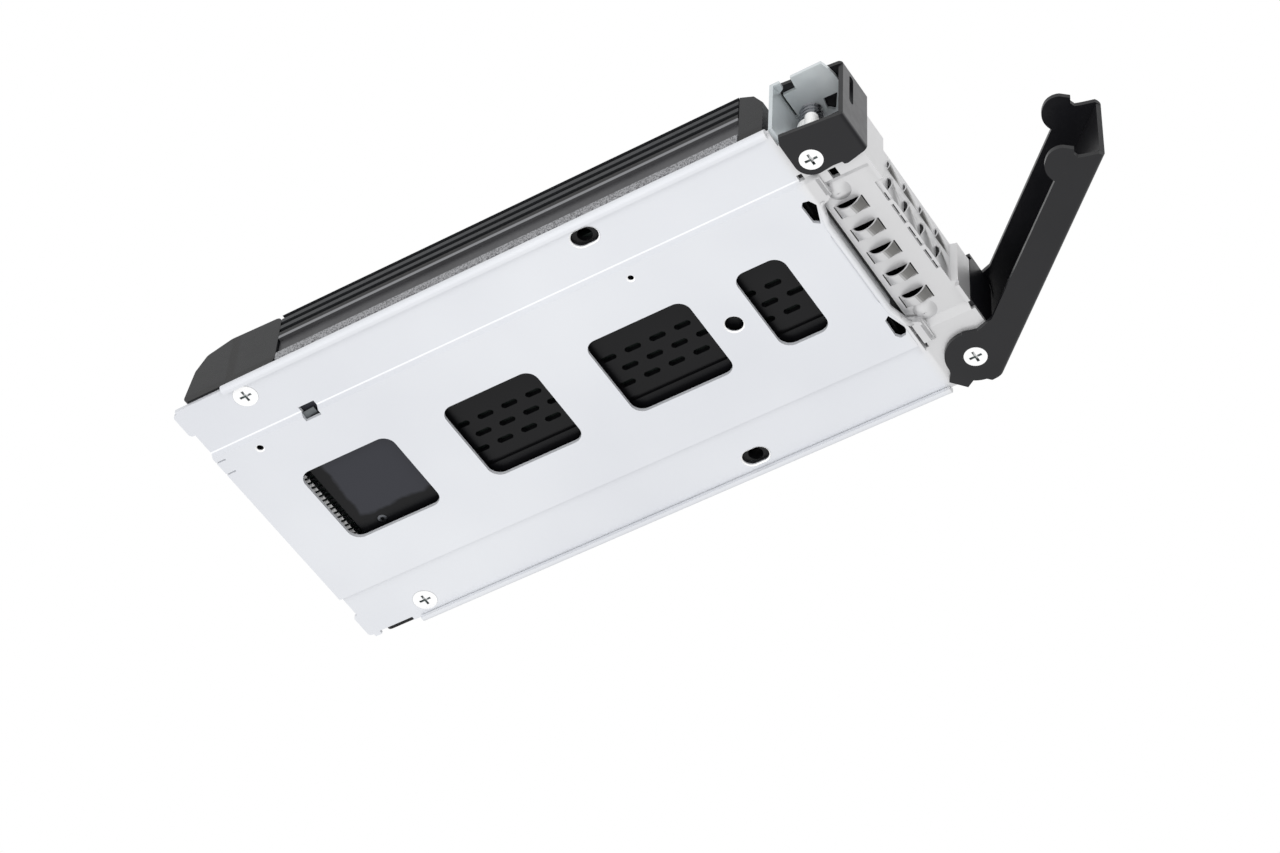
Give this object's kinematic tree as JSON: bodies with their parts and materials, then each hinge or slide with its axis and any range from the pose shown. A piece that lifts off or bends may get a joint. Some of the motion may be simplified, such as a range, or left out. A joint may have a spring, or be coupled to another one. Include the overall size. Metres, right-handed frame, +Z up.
{
  "type": "hot swap drive caddy",
  "caption": "Folded sheet-steel tray with a louvred front, a pivoting channel lever and a sprung latch, carrying a finned 2.5-inch drive module held by countersunk screws.",
  "frame": {"origin": "on the underside of the tray's centre strip, midway along the tray and on its centre plane", "axes": "+X from the drive's connector end to the lever end, +Y from the latch side to the lever's pivot side, +Z up from the tray's underside to the drive"},
  "size_m": [0.1845, 0.0712, 0.0173],
  "materials": {
    "tray": "smooth light silver-grey finish on folded sheet steel",
    "black_steel": "semi-gloss black coating on folded sheet steel",
    "plated_steel": "plated steel, turned",
    "screw": "bright nickel plating",
    "white_plastic": "white acetal",
    "spring_steel": "bright spring wire",
    "zinc_steel": "bluish zinc plating",
    "module_metal": "black anodised extrusion with bright edges",
    "module_cap": "satin dark grey",
    "module_cover": "matte black sheet",
    "board": "dark green laminate",
    "chip": "black moulded packages",
    "pad": "soft grey-blue gap filler",
    "capacitor": "yellow moulded bodies",
    "connector": "black moulded plastic",
    "contact": "gold-plated contacts",
    "film": "matte black insulating film"
  },
  "bodies": {
    "caddy": {"tray": "tray", "lever_post": "plated_steel", "latch_post": "plated_steel", "lever_screw": "screw", "latch_screw": "screw", "drive_screws": "screw", "latch_hub": "white_plastic", "latch_spring": "spring_steel", "latch_bracket": "zinc_steel", "lever_bracket": "black_steel", "heatsink": "module_metal", "rear_cap": "module_cap", "front_cap": "module_cap", "bottom_cover": "module_cover", "circuit_board": "board", "memory_chips": "chip", "controller_chip": "chip", "thermal_pads": "pad", "capacitors": "capacitor", "connector_housing": "connector", "connector_pins": "contact", "front_insulator": "film", "cover_screw": "screw"},
    "lever": {"lever": "black_steel"},
    "latch": {"release_latch": "black_steel"}
  },
  "joints": [
    {"name": "lever_hinge", "type": "hinge", "parent": "caddy", "child": "lever", "pos_m": [0.06782, 0.0293, 0.0084], "axis": [0, 0, 1], "range_deg": [-48.1, 0]},
    {"name": "latch_hinge", "type": "hinge", "parent": "caddy", "child": "latch", "pos_m": [0.06422, -0.0259, 0.0084], "axis": [0, 0, 1], "range_deg": [-10, 0], "stiffness_Nm_per_rad": 0.04, "springref_deg": 5.73}
  ]
}
